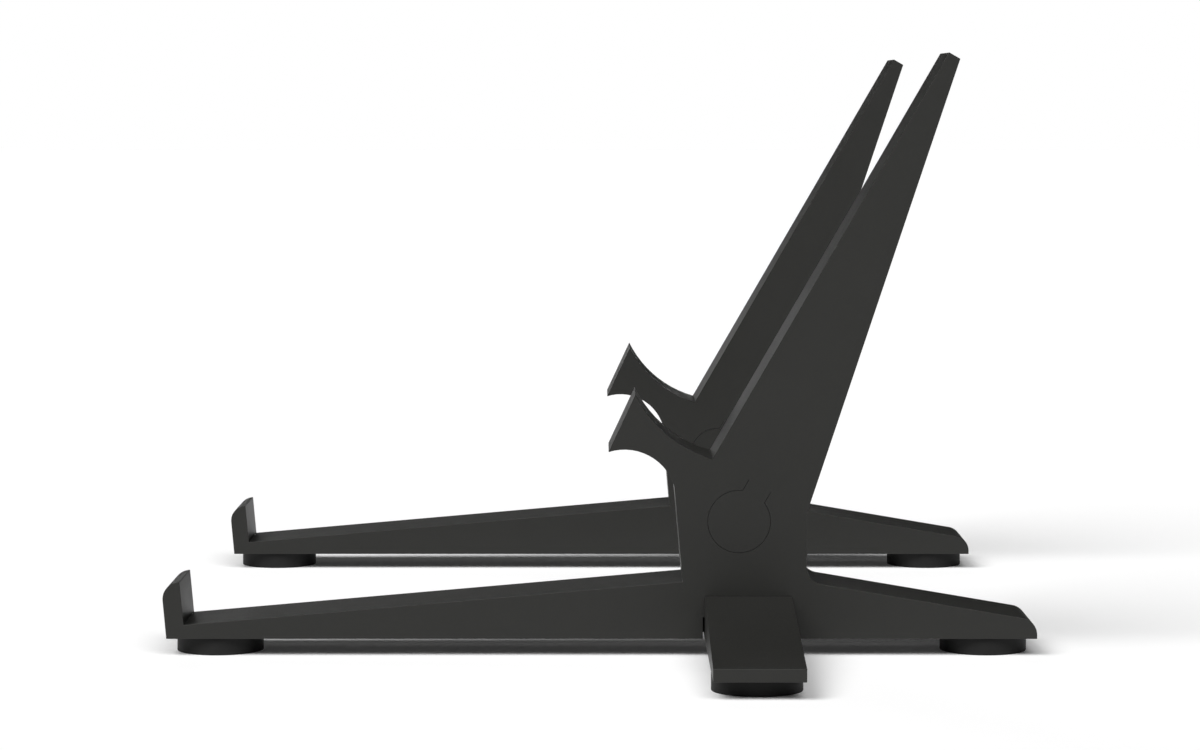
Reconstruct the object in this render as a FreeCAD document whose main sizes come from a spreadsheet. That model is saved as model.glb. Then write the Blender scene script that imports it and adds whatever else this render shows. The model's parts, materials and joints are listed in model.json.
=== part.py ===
import FreeCAD, Part
import math
import os

import Sketcher
from FreeCAD import Vector

# Driving sizes, in millimetres and degrees
SIZES = {
    # side profile of a base, from the front lip to the rear end
    "deck_angle": 5.0,
    "front_height": 3.2,
    "lip_thickness": 4.28,
    "lip_height": 10.0,
    "lip_land": 0.28,
    "deck_length": 115.0,
    "shoulder_height": 29.0,
    "rear_reach": 53.0,
    "rear_end_height": 4.26,
    "rear_toe": 0.87,
    "rear_fillet": 4.0,
    # hook in front of the upright
    "hook_root_height": 22.0,
    "hook_reach": 15.12,
    "hook_rise": 7.93,
    "hook_face_angle": 65.0,
    "hook_face_length": 14.56,
    "hook_under_bow": 3.57,
    "hook_top_bow": 2.43,
    # back arm and the key that holds it in the base
    "arm_setback": 6.75,
    "arm_angle": 60.0,
    "arm_length": 107.0,
    "arm_root_width": 25.0,
    "arm_tip_width": 2.9,
    "key_radius": 7.15,
    "key_neck": 5.65,
    "key_neck_length": 2.83,
    "key_clearance": 0.1,
    # outrigger and the tongue that plugs it into the base
    "outrigger_length": 62.5,
    "outrigger_width": 20.0,
    "outrigger_root_height": 9.8,
    "outrigger_tip_height": 2.9,
    "outrigger_setback": 13.35,
    "tongue_length": 10.7,
    "tongue_height": 4.7,
    "tongue_clearance": 0.3,
    "tongue_side_clearance": 0.4,
    # stick-on rubber feet
    "foot_diameter": 20.0,
    "foot_height": 4.0,
    "foot_rim": 0.15,
    "foot_inset": 1.35,
    "side_foot_inset": 5.0,
    "adhesive_thickness": 0.2,
    "adhesive_margin": 0.25,
    # the pair
    "unit_width": 22.0,
    "unit_gap": 134.0,
}

# Places worked out from the driving sizes, as sheet formulas
LEAN_SIN = "sin(Sizes.deck_angle)"
LEAN_COS = "cos(Sizes.deck_angle)"
DECK_FRONT = f"(Sizes.lip_thickness - Sizes.front_height * {LEAN_SIN}) / {LEAN_COS}"
DECK_END = f"({DECK_FRONT} + Sizes.deck_length * {LEAN_COS})"
UPRIGHT_REAR = f"({DECK_END} + Sizes.arm_setback + Sizes.arm_root_width * sin(Sizes.arm_angle))"
BASE_END = f"({UPRIGHT_REAR} + Sizes.rear_reach)"
LIP_ROUND = "(Sizes.lip_thickness - Sizes.lip_land)"
LIP_RISE = (
    f"(Sizes.lip_height + Sizes.front_height / {LEAN_COS}"
    f" - Sizes.lip_thickness * {LEAN_SIN} / {LEAN_COS})"
)
FRONT_OVERHANG = f"(({LIP_RISE} - {LIP_ROUND}) * {LEAN_SIN} + {LIP_ROUND} * (1 - {LEAN_COS}))"
ORIGIN_X = f"(({BASE_END} - {FRONT_OVERHANG}) / 2)"
UNIT_MIDDLE = "(Sizes.unit_gap / 2 + Sizes.unit_width / 2)"
OUTER_FACE = "(Sizes.unit_gap / 2 + Sizes.unit_width)"
OUTRIGGER_X = f"({UPRIGHT_REAR} - Sizes.outrigger_setback)"
KEY_DROP = "(Sizes.key_neck_length + sqrt(Sizes.key_radius ^ 2 - (Sizes.key_neck / 2) ^ 2))"

# A sketch counts its own axes downwards from -1, and the points of a line or an arc upwards from 1
AXES, UPRIGHT_AXIS = range(-1, -3, -1)
START, END, CENTRE = range(1, 4)

doc = FreeCAD.newDocument("controller_stand")
sheet = doc.addObject("Spreadsheet::Sheet", "Sizes")
for row, (name, number) in enumerate(SIZES.items(), start=1):
    sheet.set(f"A{row}", name.replace("_", " "))
    sheet.set(f"B{row}", str(number))
    sheet.setAlias(f"B{row}", name)
doc.recompute()


def worth(formula):
    return float(sheet.evalExpression(formula))


def towards(angle, distance):
    turn = math.radians(angle)
    return Vector(distance * math.cos(turn), distance * math.sin(turn), 0)


# Arcs run counterclockwise from start to end
def arc_about(centre, start, end):
    circle = Part.Circle(centre, Vector(0, 0, 1), (start - centre).Length)
    first = math.atan2(start.y - centre.y, start.x - centre.x)
    last = math.atan2(end.y - centre.y, end.x - centre.x)
    if last <= first:
        last += 2 * math.pi
    return Part.ArcOfCircle(circle, first, last)


# Arc whose middle stands off the straight line from start to end by its bow
def bowed_arc(start, end, bow):
    half = (end - start) / 2
    inward = Vector(-half.y, half.x, 0).normalize()
    radius = (half.Length ** 2 + bow ** 2) / (2 * bow)
    return arc_about(start + half + inward * (radius - bow), start, end)


# Arc that touches both sides of a corner at the same distance from it
def corner_arc(corner, start, end):
    half = (end - start) / 2
    inward = start + half - corner
    centre = start + half + inward * (half.Length / inward.Length) ** 2
    return arc_about(centre, start, end)


def new_body(label):
    body = doc.addObject("PartDesign::Body", label)
    body.Label = label
    return body


def new_sketch(body, plane):
    sketch = body.newObject("Sketcher::SketchObject", f"{body.Name}_sketch")
    support = next(part for part in body.Origin.OriginFeatures if part.Role == plane)
    sketch.AttachmentSupport = [(support, "")]
    sketch.MapMode = "FlatFace"
    return sketch


def hold(sketch, kind, *where):
    sketch.addConstraint(Sketcher.Constraint(kind, *where))


# Dimension of a sketch that follows a formula of the sheet
def drive(sketch, kind, *where, by):
    number = worth(by)
    if kind == "Angle":
        number = math.radians(number)
        by = f"({by}) * 1 deg"
    index = sketch.addConstraint(Sketcher.Constraint(kind, *where, number))
    sketch.setExpression(f"Constraints[{index}]", by)


# Arc of an outline that stays as set however its ends move: its bow is measured from its chord
def drive_bow(sketch, arc, by):
    start = sketch.getPoint(arc, START)
    end = sketch.getPoint(arc, END)
    middle = (start + end) / 2
    outward = Vector(end.y - start.y, start.x - end.x, 0).normalize()
    chord = sketch.addGeometry(Part.LineSegment(start, end), True)
    bow = sketch.addGeometry(Part.LineSegment(middle, middle + outward * worth(by)), True)
    hold(sketch, "Coincident", chord, START, arc, START)
    hold(sketch, "Coincident", chord, END, arc, END)
    hold(sketch, "Symmetric", arc, START, arc, END, bow, START)
    hold(sketch, "Perpendicular", bow, chord)
    hold(sketch, "PointOnObject", bow, END, arc)
    drive(sketch, "Distance", bow, by=by)


def lines_through(sketch, points):
    lines = []
    for start, end in zip(points, points[1:] + points[:1]):
        lines.append(sketch.addGeometry(Part.LineSegment(start, end)))
    for line, following in zip(lines, lines[1:] + lines[:1]):
        hold(sketch, "Coincident", line, END, following, START)
    return lines


def pad(body, sketch, length):
    feature = body.newObject("PartDesign::Pad", f"{sketch.Name}_pad")
    feature.Profile = sketch
    feature.SideType = "Symmetric"
    feature.setExpression("Length", length)
    doc.recompute()
    return feature


def place(item, along, across, up):
    item.setExpression("Placement.Base.x", along)
    item.setExpression("Placement.Base.y", across)
    item.setExpression("Placement.Base.z", up)


# A side outline's zero is the front lower corner of the right base
def place_in_profile(body):
    place(body, f"-{ORIGIN_X}", f"-{UNIT_MIDDLE}", "Sizes.foot_height")


# Side outline of a base: x runs from the front corner to the rear, y upwards
def draw_base_outline(body):
    sketch = new_sketch(body, "XZ_Plane")
    lean = worth("Sizes.deck_angle")
    front = Vector(0, 0, 0)
    lip_corner = Vector(worth(DECK_FRONT), worth("Sizes.front_height"), 0)
    lip_top = lip_corner + towards(lean + 90, worth("Sizes.lip_height"))
    land_end = lip_top + towards(lean + 180, worth("Sizes.lip_land"))
    lip_round_centre = land_end + towards(lean - 90, worth(LIP_ROUND))
    lip_round_end = lip_round_centre + towards(lean + 180, worth(LIP_ROUND))
    deck_end = lip_corner + towards(lean, worth("Sizes.deck_length"))
    hook_root = deck_end + towards(lean + 90, worth("Sizes.hook_root_height"))
    hook_low = hook_root + Vector(-worth("Sizes.hook_reach"), worth("Sizes.hook_rise"), 0)
    hook_tip = hook_low + towards(worth("Sizes.hook_face_angle"), worth("Sizes.hook_face_length"))
    shoulder_rear = Vector(worth(UPRIGHT_REAR), worth("Sizes.shoulder_height"), 0)
    shoulder_front = shoulder_rear + towards(worth("Sizes.arm_angle + 90"), worth("Sizes.arm_root_width"))
    rear_corner = Vector(worth(BASE_END), worth("Sizes.rear_end_height"), 0)
    rear_root = Vector(shoulder_rear.x, deck_end.y, 0)
    fall = math.degrees(math.atan2(rear_root.y - rear_corner.y, worth("Sizes.rear_reach")))
    corner_turn = math.tan(math.radians((90 - fall) / 2))
    round_reach = rear_corner.y - worth("Sizes.rear_toe")
    round_low = rear_corner + towards(-90, round_reach)
    round_high = rear_corner + towards(180 - fall, round_reach)
    fillet_reach = worth("Sizes.rear_fillet") * corner_turn
    fillet_low = rear_root + towards(-fall, fillet_reach)
    fillet_high = rear_root + towards(90, fillet_reach)

    def line(start, end):
        return sketch.addGeometry(Part.LineSegment(start, end))

    underside = line(front, Vector(rear_corner.x, 0, 0))
    rear_end = line(Vector(rear_corner.x, 0, 0), round_low)
    rear_round = sketch.addGeometry(corner_arc(rear_corner, round_low, round_high))
    rear_top = line(round_high, fillet_low)
    rear_fillet = sketch.addGeometry(corner_arc(rear_root, fillet_high, fillet_low))
    upright_rear = line(fillet_high, shoulder_rear)
    shoulder = line(shoulder_rear, shoulder_front)
    hook_top = sketch.addGeometry(bowed_arc(hook_tip, shoulder_front, worth("Sizes.hook_top_bow")))
    hook_face = line(hook_low, hook_tip)
    hook_under = sketch.addGeometry(bowed_arc(hook_root, hook_low, worth("Sizes.hook_under_bow")))
    upright_front = line(hook_root, deck_end)
    deck = line(lip_corner, deck_end)
    lip_inside = line(lip_corner, lip_top)
    lip_land = line(lip_top, land_end)
    lip_round = sketch.addGeometry(arc_about(lip_round_centre, land_end, lip_round_end))
    lip_outside = line(lip_round_end, front)
    end_guide = sketch.addGeometry(Part.LineSegment(round_low, rear_corner), True)
    root_guide = sketch.addGeometry(Part.Point(rear_root), True)

    hold(sketch, "Coincident", underside, START, AXES, START)
    hold(sketch, "Coincident", underside, END, rear_end, START)
    hold(sketch, "Tangent", rear_end, END, rear_round, START)
    hold(sketch, "Tangent", rear_round, END, rear_top, START)
    hold(sketch, "Tangent", rear_top, END, rear_fillet, END)
    hold(sketch, "Tangent", rear_fillet, START, upright_rear, START)
    hold(sketch, "Coincident", upright_rear, END, shoulder, START)
    hold(sketch, "Coincident", shoulder, END, hook_top, END)
    hold(sketch, "Coincident", hook_top, START, hook_face, END)
    hold(sketch, "Coincident", hook_face, START, hook_under, END)
    hold(sketch, "Coincident", hook_under, START, upright_front, START)
    hold(sketch, "Coincident", upright_front, END, deck, END)
    hold(sketch, "Coincident", deck, START, lip_inside, START)
    hold(sketch, "Coincident", lip_inside, END, lip_land, START)
    hold(sketch, "Tangent", lip_land, END, lip_round, START)
    hold(sketch, "Tangent", lip_round, END, lip_outside, START)
    hold(sketch, "Coincident", lip_outside, END, underside, START)

    hold(sketch, "Horizontal", underside)
    hold(sketch, "Vertical", rear_end)
    hold(sketch, "Vertical", upright_rear)
    hold(sketch, "Perpendicular", upright_front, deck)
    hold(sketch, "Perpendicular", lip_inside, deck)
    hold(sketch, "Perpendicular", lip_land, lip_inside)
    hold(sketch, "Parallel", lip_outside, lip_inside)
    hold(sketch, "Coincident", end_guide, START, rear_end, END)
    hold(sketch, "Vertical", end_guide)
    hold(sketch, "PointOnObject", end_guide, END, rear_top)
    hold(sketch, "PointOnObject", root_guide, START, rear_top)
    hold(sketch, "PointOnObject", root_guide, START, upright_rear)
    hold(sketch, "Horizontal", root_guide, START, deck, END)

    drive(sketch, "Angle", deck, by="Sizes.deck_angle")
    drive(sketch, "Distance", deck, by="Sizes.deck_length")
    drive(sketch, "DistanceY", AXES, START, deck, START, by="Sizes.front_height")
    drive(sketch, "Distance", deck, START, lip_outside, by="Sizes.lip_thickness")
    drive(sketch, "Distance", lip_inside, by="Sizes.lip_height")
    drive(sketch, "Distance", lip_land, by="Sizes.lip_land")
    drive(sketch, "DistanceX", deck, END, shoulder, END, by="Sizes.arm_setback")
    drive(sketch, "DistanceY", AXES, START, shoulder, START, by="Sizes.shoulder_height")
    drive(sketch, "DistanceX", shoulder, START, underside, END, by="Sizes.rear_reach")
    drive(sketch, "DistanceY", AXES, START, end_guide, END, by="Sizes.rear_end_height")
    drive(sketch, "Distance", rear_end, by="Sizes.rear_toe")
    drive(sketch, "Radius", rear_fillet, by="Sizes.rear_fillet")
    drive(sketch, "Angle", shoulder, by="Sizes.arm_angle + 90")
    drive(sketch, "Distance", shoulder, by="Sizes.arm_root_width")
    drive(sketch, "Distance", upright_front, by="Sizes.hook_root_height")
    drive(sketch, "DistanceX", hook_face, START, upright_front, START, by="Sizes.hook_reach")
    drive(sketch, "DistanceY", upright_front, START, hook_face, START, by="Sizes.hook_rise")
    drive(sketch, "Angle", hook_face, by="Sizes.hook_face_angle")
    drive(sketch, "Distance", hook_face, by="Sizes.hook_face_length")
    drive_bow(sketch, hook_under, by="Sizes.hook_under_bow")
    drive_bow(sketch, hook_top, by="Sizes.hook_top_bow")
    return sketch


# Disc and neck that hang from the shoulder and lock the arm to the base.
# The same outline, grown by a clearance, is the socket.
# The neck's top passes the shoulder, so that the key joins the arm and the socket is open there.
def draw_key(body, clearance):
    sketch = new_sketch(body, "XZ_Plane")
    axis = worth("Sizes.arm_angle")
    rear = Vector(worth(UPRIGHT_REAR), worth("Sizes.shoulder_height"), 0)
    front = rear + towards(axis + 90, worth("Sizes.arm_root_width"))
    middle = (rear + front) / 2
    centre = middle + towards(axis, -worth(KEY_DROP))
    radius = worth(f"Sizes.key_radius + {clearance}")
    half_neck = worth(f"Sizes.key_neck / 2 + {clearance}")
    reach = math.sqrt(radius ** 2 - half_neck ** 2)
    top = middle + towards(axis, worth("Sizes.key_clearance"))
    low = centre + towards(axis, reach)
    aside = towards(axis + 90, half_neck)

    shoulder = sketch.addGeometry(Part.LineSegment(rear, front), True)
    stem = sketch.addGeometry(Part.LineSegment(middle, centre), True)
    neck_front = sketch.addGeometry(Part.LineSegment(top + aside, low + aside))
    disc = sketch.addGeometry(arc_about(centre, low + aside, low - aside))
    neck_rear = sketch.addGeometry(Part.LineSegment(low - aside, top - aside))
    neck_top = sketch.addGeometry(Part.LineSegment(top - aside, top + aside))

    hold(sketch, "Coincident", neck_front, END, disc, START)
    hold(sketch, "Coincident", disc, END, neck_rear, START)
    hold(sketch, "Coincident", neck_rear, END, neck_top, START)
    hold(sketch, "Coincident", neck_top, END, neck_front, START)
    hold(sketch, "Symmetric", shoulder, START, shoulder, END, stem, START)
    hold(sketch, "Coincident", stem, END, disc, CENTRE)
    hold(sketch, "Perpendicular", stem, shoulder)
    hold(sketch, "Perpendicular", neck_front, shoulder)
    hold(sketch, "Perpendicular", neck_rear, shoulder)
    hold(sketch, "Parallel", neck_top, shoulder)
    drive(sketch, "DistanceX", AXES, START, shoulder, START, by=UPRIGHT_REAR)
    drive(sketch, "DistanceY", AXES, START, shoulder, START, by="Sizes.shoulder_height")
    drive(sketch, "Angle", shoulder, by="Sizes.arm_angle + 90")
    drive(sketch, "Distance", shoulder, by="Sizes.arm_root_width")
    drive(sketch, "Distance", stem, by=KEY_DROP)
    drive(sketch, "Distance", disc, CENTRE, neck_front, by=f"Sizes.key_neck / 2 + {clearance}")
    drive(sketch, "Distance", disc, CENTRE, neck_rear, by=f"Sizes.key_neck / 2 + {clearance}")
    drive(sketch, "Distance", neck_top, START, shoulder, by="Sizes.key_clearance")
    drive(sketch, "Radius", disc, by=f"Sizes.key_radius + {clearance}")
    return sketch


# Pocket in the underside, open at the outer face, that takes the outrigger's tongue
def cut_tongue_pocket(body):
    sketch = new_sketch(body, "XY_Plane")
    width = "Sizes.outrigger_width + 2 * Sizes.tongue_side_clearance"
    left_edge = f"{OUTRIGGER_X} - ({width}) / 2"
    outer_edge = "Sizes.unit_width / 2 + Sizes.tongue_clearance"
    depth = "Sizes.tongue_length + 2 * Sizes.tongue_clearance"
    corner = Vector(worth(left_edge), -worth(outer_edge), 0)
    across = Vector(worth(width), 0, 0)
    inward = Vector(0, worth(depth), 0)
    front, right, back, left = lines_through(
        sketch, [corner, corner + across, corner + across + inward, corner + inward]
    )
    hold(sketch, "Horizontal", front)
    hold(sketch, "Vertical", right)
    hold(sketch, "Horizontal", back)
    hold(sketch, "Vertical", left)
    drive(sketch, "DistanceX", AXES, START, front, START, by=left_edge)
    drive(sketch, "DistanceY", front, START, AXES, START, by=outer_edge)
    drive(sketch, "Distance", front, by=width)
    drive(sketch, "Distance", right, by=depth)
    pocket = body.newObject("PartDesign::Pocket", "tongue_pocket")
    pocket.Profile = sketch
    pocket.Reversed = True
    pocket.setExpression("Length", "Sizes.tongue_height + Sizes.tongue_clearance")
    doc.recompute()
    return pocket


def make_base(label):
    body = new_body(label)
    blank = pad(body, draw_base_outline(body), "Sizes.unit_width")
    socket = body.newObject("PartDesign::Pocket", "key_socket")
    socket.Profile = draw_key(body, "Sizes.key_clearance")
    socket.Type = "ThroughAll"
    socket.SideType = "Symmetric"
    doc.recompute()
    pocket = cut_tongue_pocket(body)
    check_removed(blank, socket)
    check_removed(socket, pocket)
    place_in_profile(body)
    return body


def check_removed(before, after):
    if after.Shape.Volume >= before.Shape.Volume:
        raise RuntimeError(f"{after.Label} cuts nothing")


# Tapered arm that leans back from the shoulder, with its key below
def make_back_arm(label):
    body = new_body(label)
    sketch = new_sketch(body, "XZ_Plane")
    axis = worth("Sizes.arm_angle")
    root_rear = Vector(worth(UPRIGHT_REAR), worth("Sizes.shoulder_height"), 0)
    root_front = root_rear + towards(axis + 90, worth("Sizes.arm_root_width"))
    tip_front = root_front + towards(axis, worth("Sizes.arm_length"))
    tip_rear = tip_front + towards(axis - 90, worth("Sizes.arm_tip_width"))
    root, face, tip, back = lines_through(sketch, [root_rear, root_front, tip_front, tip_rear])
    hold(sketch, "Perpendicular", face, root)
    hold(sketch, "Perpendicular", tip, face)
    drive(sketch, "DistanceX", AXES, START, root, START, by=UPRIGHT_REAR)
    drive(sketch, "DistanceY", AXES, START, root, START, by="Sizes.shoulder_height")
    drive(sketch, "Angle", root, by="Sizes.arm_angle + 90")
    drive(sketch, "Distance", root, by="Sizes.arm_root_width")
    drive(sketch, "Distance", face, by="Sizes.arm_length")
    drive(sketch, "Distance", tip, by="Sizes.arm_tip_width")
    pad(body, sketch, "Sizes.unit_width")
    pad(body, draw_key(body, "0"), "Sizes.unit_width")
    place_in_profile(body)
    return body


# Side foot bar: x of its outline runs outwards from the base's outer face, y upwards
def make_outrigger(label):
    body = new_body(label)
    sketch = new_sketch(body, "YZ_Plane")
    length = worth("Sizes.outrigger_length")
    tongue = -worth("Sizes.tongue_length")
    tongue_height = worth("Sizes.tongue_height")
    outline = [
        (tongue, 0),
        (length, 0),
        (length, worth("Sizes.outrigger_tip_height")),
        (0, worth("Sizes.outrigger_root_height")),
        (0, tongue_height),
        (tongue, tongue_height),
    ]
    corners = [Vector(out, up, 0) for out, up in outline]
    underside, tip, top, root, tongue_top, tongue_end = lines_through(sketch, corners)
    hold(sketch, "PointOnObject", underside, START, AXES)
    hold(sketch, "Horizontal", underside)
    hold(sketch, "Vertical", tip)
    hold(sketch, "PointOnObject", root, START, UPRIGHT_AXIS)
    hold(sketch, "Vertical", root)
    hold(sketch, "Horizontal", tongue_top)
    hold(sketch, "Vertical", tongue_end)
    drive(sketch, "DistanceX", AXES, START, underside, END, by="Sizes.outrigger_length")
    drive(sketch, "Distance", tip, by="Sizes.outrigger_tip_height")
    drive(sketch, "DistanceY", AXES, START, root, START, by="Sizes.outrigger_root_height")
    drive(sketch, "Distance", tongue_end, by="Sizes.tongue_height")
    drive(sketch, "Distance", tongue_top, by="Sizes.tongue_length")
    pad(body, sketch, "Sizes.outrigger_width")
    body.Placement = FreeCAD.Placement(Vector(), FreeCAD.Rotation(Vector(0, 0, 1), 180))
    place(body, f"{OUTRIGGER_X} - {ORIGIN_X}", f"-{OUTER_FACE}", "Sizes.foot_height")
    return body


# Rubber disc with a softened lower rim
def make_foot(label, along, across):
    body = new_body(label)
    sketch = new_sketch(body, "XY_Plane")
    radius = worth("Sizes.foot_diameter / 2")
    rim = sketch.addGeometry(Part.Circle(Vector(), Vector(0, 0, 1), radius))
    hold(sketch, "Coincident", rim, CENTRE, AXES, START)
    drive(sketch, "Diameter", rim, by="Sizes.foot_diameter")
    disc = body.newObject("PartDesign::Pad", f"{label}_disc")
    disc.Profile = sketch
    disc.setExpression("Length", "Sizes.foot_height - Sizes.adhesive_thickness")
    doc.recompute()
    edges = disc.Shape.Edges
    lowest = min(range(len(edges)), key=lambda index: edges[index].BoundBox.ZMax)
    softened = body.newObject("PartDesign::Fillet", f"{label}_rim")
    softened.Base = (disc, [f"Edge{lowest + 1}"])
    softened.setExpression("Radius", "Sizes.foot_rim")
    place(body, along, across, "0")
    return body


# Double-sided adhesive between a rubber foot and the plastic above it
def make_adhesive(label, along, across):
    disc = doc.addObject("Part::Cylinder", label)
    disc.Label = label
    disc.setExpression("Radius", "Sizes.foot_diameter / 2 - Sizes.adhesive_margin")
    disc.setExpression("Height", "Sizes.adhesive_thickness")
    place(disc, along, across, "Sizes.foot_height - Sizes.adhesive_thickness")
    return disc


# The left stand is the mirror image of the right one
def make_mirror_image(item):
    image = doc.addObject("Part::Mirroring", item.Name.replace("right_", "left_"))
    image.Label = item.Label.replace("right_", "left_")
    image.Source = item
    image.Base = Vector(0, 0, 0)
    image.Normal = Vector(0, 1, 0)
    return image


def make_right_stand():
    end_inset = "(Sizes.foot_inset + Sizes.foot_diameter / 2)"
    side_foot_reach = "Sizes.outrigger_length - Sizes.side_foot_inset - Sizes.foot_diameter / 2"
    feet = {
        "front": (f"{end_inset} - {ORIGIN_X}", f"-{UNIT_MIDDLE}"),
        "rear": (f"{BASE_END} - {end_inset} - {ORIGIN_X}", f"-{UNIT_MIDDLE}"),
        "side": (
            f"{OUTRIGGER_X} - {ORIGIN_X}",
            f"-({OUTER_FACE} + {side_foot_reach})",
        ),
    }
    pieces = [
        make_base("right_base"),
        make_back_arm("right_back_arm"),
        make_outrigger("right_outrigger"),
    ]
    for spot, (along, across) in feet.items():
        pieces.append(make_foot(f"right_{spot}_foot", along, across))
        pieces.append(make_adhesive(f"right_{spot}_foot_adhesive", along, across))
    return pieces


def check_document(pieces):
    for item in doc.Objects:
        if "Invalid" in item.State or "Error" in item.State:
            raise RuntimeError(f"{item.Label} failed: {item.State}")
        if item.isDerivedFrom("Sketcher::SketchObject") and not item.FullyConstrained:
            raise RuntimeError(f"{item.Label} is not fully constrained")
    for piece in pieces:
        if piece.Shape.isNull() or not piece.Shape.isValid():
            raise RuntimeError(f"{piece.Label} has no valid shape")


right_stand = make_right_stand()
doc.recompute()
left_stand = [make_mirror_image(piece) for piece in right_stand]
doc.recompute()
check_document(right_stand + left_stand)

os.makedirs("parts", exist_ok=True)
for piece in right_stand + left_stand:
    piece.Shape.exportStep(f"parts/{piece.Label}.step")
    print(piece.Label, "volume", round(piece.Shape.Volume / 1000, 2), "cubic centimetres")
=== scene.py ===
import json
import math

import bmesh
import bpy
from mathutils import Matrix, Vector

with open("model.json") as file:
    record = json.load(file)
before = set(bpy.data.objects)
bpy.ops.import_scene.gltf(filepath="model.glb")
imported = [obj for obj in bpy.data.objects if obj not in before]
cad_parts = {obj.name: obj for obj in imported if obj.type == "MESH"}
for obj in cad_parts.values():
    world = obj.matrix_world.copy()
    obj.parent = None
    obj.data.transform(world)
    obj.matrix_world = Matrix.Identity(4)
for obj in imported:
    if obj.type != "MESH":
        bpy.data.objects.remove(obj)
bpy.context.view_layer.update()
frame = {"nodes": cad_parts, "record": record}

millimetre = 0.001


# One output of a node, so that shader maths reads as plain sums
class Wire:
    def __init__(self, socket):
        self.socket = socket

    # adds any node: its settings are set first, then the values or links of its sockets
    def node(self, kind, settings=None, sockets=None, output=0):
        tree = self.socket.id_data
        made = tree.nodes.new(kind)
        for name, value in (settings or {}).items():
            setattr(made, name, value)
        for name, value in (sockets or {}).items():
            if isinstance(value, Wire):
                tree.links.new(value.socket, made.inputs[name])
            else:
                made.inputs[name].default_value = value
        return None if output is None else Wire(made.outputs[output])

    def maths(self, operation, first, second):
        return self.node("ShaderNodeMath", {"operation": operation}, {0: first, 1: second})

    def __add__(self, other):
        return self.maths("ADD", self, other)

    def __radd__(self, other):
        return self.maths("ADD", other, self)

    def __sub__(self, other):
        return self.maths("SUBTRACT", self, other)

    def __rsub__(self, other):
        return self.maths("SUBTRACT", other, self)

    def __mul__(self, other):
        return self.maths("MULTIPLY", self, other)

    def __rmul__(self, other):
        return self.maths("MULTIPLY", other, self)

    # 0 below the first number, 1 above the second
    def between(self, low, high):
        return self.node("ShaderNodeMapRange", None, {"Value": self, "From Min": low, "From Max": high})

    # even noise about 0, with lumps of the given size in metres
    def noise(self, size, detail):
        sockets = {"Vector": self, "Scale": 1 / size, "Detail": detail, "Roughness": 0.6}
        return self.node("ShaderNodeTexNoise", None, sockets) - 0.5

    # this share of the second colour over the first
    def tint(self, first, second):
        return self.node("ShaderNodeMix", {"data_type": "RGBA"}, {0: self, 6: first, 7: second}, 2)

    def bump(self, depth):
        return self.node("ShaderNodeBump", None, {"Distance": depth, "Height": self})

    def into(self, shader, socket):
        self.socket.id_data.links.new(self.socket, shader.inputs[socket])


def newFinish(name, fixed):
    material = bpy.data.materials.new(name)
    material.use_nodes = True
    tree = material.node_tree
    shader = tree.nodes["Principled BSDF"]
    for socket, value in fixed.items():
        shader.inputs[socket].default_value = value
    where = Wire(tree.nodes.new("ShaderNodeTexCoord").outputs["Object"])
    return material, shader, where


plasticLook = {
    "tone": (0.0152, 0.0152, 0.0137, 1),
    "fleckTone": (0.0200, 0.0200, 0.0182, 1),
    "roughness": 0.47,
    "specular": 0.315,
    "grain": 0.4 * millimetre,
    "grainDepth": 0.012 * millimetre,
    "grainFleck": 0.8,
    "grainRoughness": 0.12,
    "scuff": 3 * millimetre,
    "scuffDepth": 0.4,  # beside the grain's
    "scuffFleck": 0.3,
    "mottle": 18 * millimetre,
    "mottleFleck": 0.5,
    "mottleRoughness": 0.1,
}
# where hands and table tops have rubbed the edges
handledLook = {**plasticLook, "fleckTone": (0.0222, 0.0222, 0.0204, 1), "roughness": 0.44}


def makePlastic(name, look):
    material, shader, where = newFinish(name, {"Specular IOR Level": look["specular"]})
    grain = where.noise(look["grain"], detail=2)
    scuff = where.noise(look["scuff"], detail=3)
    mottle = where.noise(look["mottle"], detail=4)
    fleck = 0.5 + grain * look["grainFleck"] + scuff * look["scuffFleck"] + mottle * look["mottleFleck"]
    fleck.tint(look["tone"], look["fleckTone"]).into(shader, "Base Color")
    roughness = look["roughness"] + grain * look["grainRoughness"] + mottle * look["mottleRoughness"]
    roughness.into(shader, "Roughness")
    (grain + scuff * look["scuffDepth"]).bump(look["grainDepth"]).into(shader, "Normal")
    return material


rubberLook = {
    "tone": (0.0078, 0.0078, 0.0077, 1),
    "dustTone": (0.022, 0.022, 0.021, 1),
    "roughness": 0.62,
    "specular": 0.26,
    "grain": 0.25 * millimetre,
    "grainDepth": 0.01 * millimetre,
    "grainRoughness": 0.1,
    "dust": 4 * millimetre,
    "dustFull": 0.25,  # the noise at which dust lies thickest
    "dustCover": 0.35,
    "dustRoughness": 0.3,
}


def makeRubber(look):
    material, shader, where = newFinish("footRubber", {"Specular IOR Level": look["specular"]})
    grain = where.noise(look["grain"], detail=2)
    dust = where.noise(look["dust"], detail=4).between(0.0, look["dustFull"]) * look["dustCover"]
    dust.tint(look["tone"], look["dustTone"]).into(shader, "Base Color")
    roughness = look["roughness"] + dust * look["dustRoughness"] + grain * look["grainRoughness"]
    roughness.into(shader, "Roughness")
    grain.bump(look["grainDepth"]).into(shader, "Normal")
    return material


adhesiveLook = {
    "tone": (0.010, 0.010, 0.010, 1),
    "bubbleTone": (0.016, 0.016, 0.016, 1),
    "roughness": 0.5,
    "specular": 0.3,
    "foam": 0.3 * millimetre,
    "foamDepth": 0.01 * millimetre,
    "foamRoughness": 0.2,
}


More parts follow.
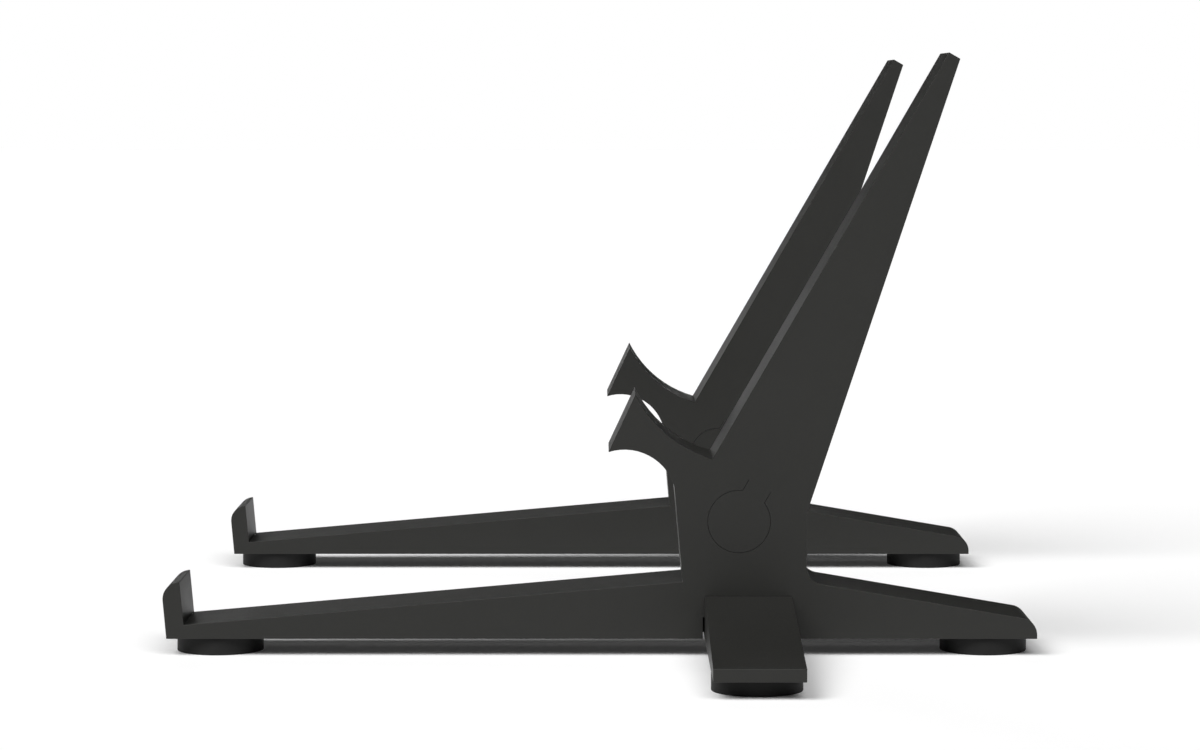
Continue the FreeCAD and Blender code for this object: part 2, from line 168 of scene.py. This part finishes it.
def makeAdhesive(look):
    material, shader, where = newFinish("foamTape", {"Specular IOR Level": look["specular"]})
    foam = where.noise(look["foam"], detail=2)
    (0.5 + foam).tint(look["tone"], look["bubbleTone"]).into(shader, "Base Color")
    (look["roughness"] + foam * look["foamRoughness"]).into(shader, "Roughness")
    foam.bump(look["foamDepth"]).into(shader, "Normal")
    return material


finishes = {
    "plastic": [makePlastic("grainyPlastic", plasticLook), makePlastic("handledPlastic", handledLook)],
    "rubber": [makeRubber(rubberLook)],
    "adhesive": [makeAdhesive(adhesiveLook)],
}
print("made finishes", ", ".join(finishes))

# The joint is where an arm stands on its base, seen from the side.
# Nothing is broken along its seam or round its key.
edgeBreak = {
    "width": 0.08 * millimetre,
    "segments": 2,
    "sharpFrom": 25,  # degrees, and so are the other angles
    "weldWithin": 0.001 * millimetre,
    "flatWithin": 0.3,
    "jointMiddle": (36.557 * millimetre, 0, 39.25 * millimetre),
    "jointLean": 60,
    "seamReach": 0.02 * millimetre,
    "keyReach": 8 * millimetre,
    "keyDepth": 17 * millimetre,
}


# gives a weight to each edge that a maker would break
def markEdges():
    group = bpy.data.node_groups.new("edgesToBreak", "GeometryNodeTree")
    for way in ("INPUT", "OUTPUT"):
        group.interface.new_socket("Geometry", in_out=way, socket_type="NodeSocketGeometry")
    mesh = Wire(group.nodes.new("NodeGroupInput").outputs[0])
    lean = math.radians(edgeBreak["jointLean"])
    spot = mesh.node(
        "ShaderNodeVectorMath",
        {"operation": "SUBTRACT"},
        {0: mesh.node("GeometryNodeInputPosition"), 1: edgeBreak["jointMiddle"]},
    )

    def along(direction):
        sockets = {0: spot, 1: direction}
        return spot.node("ShaderNodeVectorMath", {"operation": "DOT_PRODUCT"}, sockets, "Value")

    def near(distance, middle, reach):
        return mesh.node("ShaderNodeMath", {"operation": "COMPARE"}, {0: distance, 1: middle, 2: reach})

    above = along((math.cos(lean), 0, math.sin(lean)))
    aside = along((-math.sin(lean), 0, math.cos(lean)))
    seam = near(above, 0, edgeBreak["seamReach"])
    depth = edgeBreak["keyDepth"]
    key = near(above, -depth / 2, depth / 2) * near(aside, 0, edgeBreak["keyReach"])
    turned = mesh.node("GeometryNodeInputMeshEdgeAngle")
    sharp = mesh.maths("GREATER_THAN", turned, math.radians(edgeBreak["sharpFrom"]))
    smooth = mesh.node("GeometryNodeSetShadeSmooth", None, {"Geometry": mesh})
    creased = smooth.node(
        "GeometryNodeStoreNamedAttribute",
        {"data_type": "BOOLEAN", "domain": "EDGE"},
        {"Geometry": smooth, "Name": "sharp_edge", "Value": sharp},
    )
    marked = creased.node(
        "GeometryNodeStoreNamedAttribute",
        {"data_type": "FLOAT", "domain": "EDGE"},
        {"Geometry": creased, "Name": "bevel_weight_edge", "Value": sharp * (1 - seam) * (1 - key)},
    )
    marked.node("NodeGroupOutput", None, {0: marked}, None)
    return group


# takes the knife edge off a plastic piece, with modifiers alone
def breakEdges(piece, edgesToBreak):
    weld = piece.modifiers.new("closeSeams", "WELD")
    weld.merge_threshold = edgeBreak["weldWithin"]
    flat = piece.modifiers.new("wholeFaces", "DECIMATE")
    flat.decimate_type = "DISSOLVE"
    flat.angle_limit = math.radians(edgeBreak["flatWithin"])
    marks = piece.modifiers.new("edgesToBreak", "NODES")
    marks.node_group = edgesToBreak
    bevel = piece.modifiers.new("edgeBreak", "BEVEL")
    bevel.width = edgeBreak["width"]
    bevel.segments = edgeBreak["segments"]
    bevel.limit_method = "WEIGHT"
    bevel.material = 1  # the handled finish
    bevel.use_clamp_overlap = False
    even = piece.modifiers.new("evenShading", "WEIGHTED_NORMAL")
    even.keep_sharp = True


def dressPieces(rows):
    edgesToBreak = markEdges()
    for row in rows:
        piece = frame["nodes"][row["node"]]
        piece.data.materials.clear()
        for finish in finishes[row["material_slot"]]:
            piece.data.materials.append(finish)
        if row["material_slot"] == "plastic":
            breakEdges(piece, edgesToBreak)
    print("dressed", len(rows), "pieces")


dressPieces(frame["record"]["subparts"])

# Soft lights far away: turn is the angle from straight up towards the viewer, swing the angle to the right.
# The skylines graze the narrow faces from behind.
studio = {
    "key": {"turn": 30, "swing": -30, "spread": 40, "strength": 2.4},
    "fill": {"turn": 40, "swing": 10, "spread": 40, "strength": 1.68},
    "back": {"turn": -68, "swing": 0, "spread": 16, "strength": 0.012},
    "backLeft": {"turn": -56, "swing": -14, "spread": 16, "strength": 0.14},
    "skylineLeft": {"turn": -88, "swing": -9, "spread": 5, "strength": 0.016},
    "skylineRight": {"turn": -88.7, "swing": 3.1, "spread": 2.6, "strength": 0.017},
}


def hangLight(name, facts):
    lamp = bpy.data.lights.new(name, "SUN")
    lamp.angle = math.radians(facts["spread"])
    lamp.energy = facts["strength"]
    turn, swing = math.radians(facts["turn"]), math.radians(facts["swing"])
    source = Vector(
        (math.sin(swing), -math.sin(turn) * math.cos(swing), math.cos(turn) * math.cos(swing))
    )
    light = bpy.data.objects.new(name, lamp)
    light.rotation_euler = source.to_track_quat("Z", "Y").to_euler()
    bpy.context.scene.collection.objects.link(light)


# a white backdrop that only the camera sees, so it lights nothing
def hangBackdrop():
    world = bpy.data.worlds.new("backdrop")
    bpy.context.scene.world = world
    world.use_nodes = True
    shader = world.node_tree.nodes["Background"]
    shader.inputs["Color"].default_value = (1, 1, 1, 1)
    seen = Wire(world.node_tree.nodes.new("ShaderNodeLightPath").outputs["Is Camera Ray"])
    seen.into(shader, "Strength")


for name, facts in studio.items():
    hangLight(name, facts)
hangBackdrop()
print("lit with", len(studio), "lights")

tableTop = {"reach": 8.0, "tone": (0.985, 0.985, 0.985, 1), "glow": 0.026}


def layTable():
    fixed = {
        "Base Color": tableTop["tone"],
        "Roughness": 1.0,
        "Specular IOR Level": 0.0,
        "Emission Color": (1, 1, 1, 1),
        "Emission Strength": tableTop["glow"],
    }
    sheet = bmesh.new()
    bmesh.ops.create_grid(sheet, x_segments=1, y_segments=1, size=tableTop["reach"])
    mesh = bpy.data.meshes.new("tableTop")
    sheet.to_mesh(mesh)
    sheet.free()
    mesh.materials.append(newFinish("paleTable", fixed)[0])
    table = bpy.data.objects.new("tableTop", mesh)
    bpy.context.scene.collection.objects.link(table)
    print("laid the table")


layTable()

photoView = {
    "place": (0.0, -0.917776, 0.127973),
    "pitch": 4.3606,  # degrees downwards
    "lens": 109.221,  # millimetres, and so is the sensor
    "sensor": 36.0,
}


def setCamera():
    lens = bpy.data.cameras.new("photoView")
    lens.lens = photoView["lens"]
    lens.sensor_width = photoView["sensor"]
    camera = bpy.data.objects.new("photoView", lens)
    camera.location = photoView["place"]
    camera.rotation_euler = (math.radians(90 - photoView["pitch"]), 0, 0)
    bpy.context.scene.collection.objects.link(camera)
    bpy.context.scene.camera = camera
    bpy.context.scene.view_settings.view_transform = "Standard"
    print("set the camera")


setCamera()
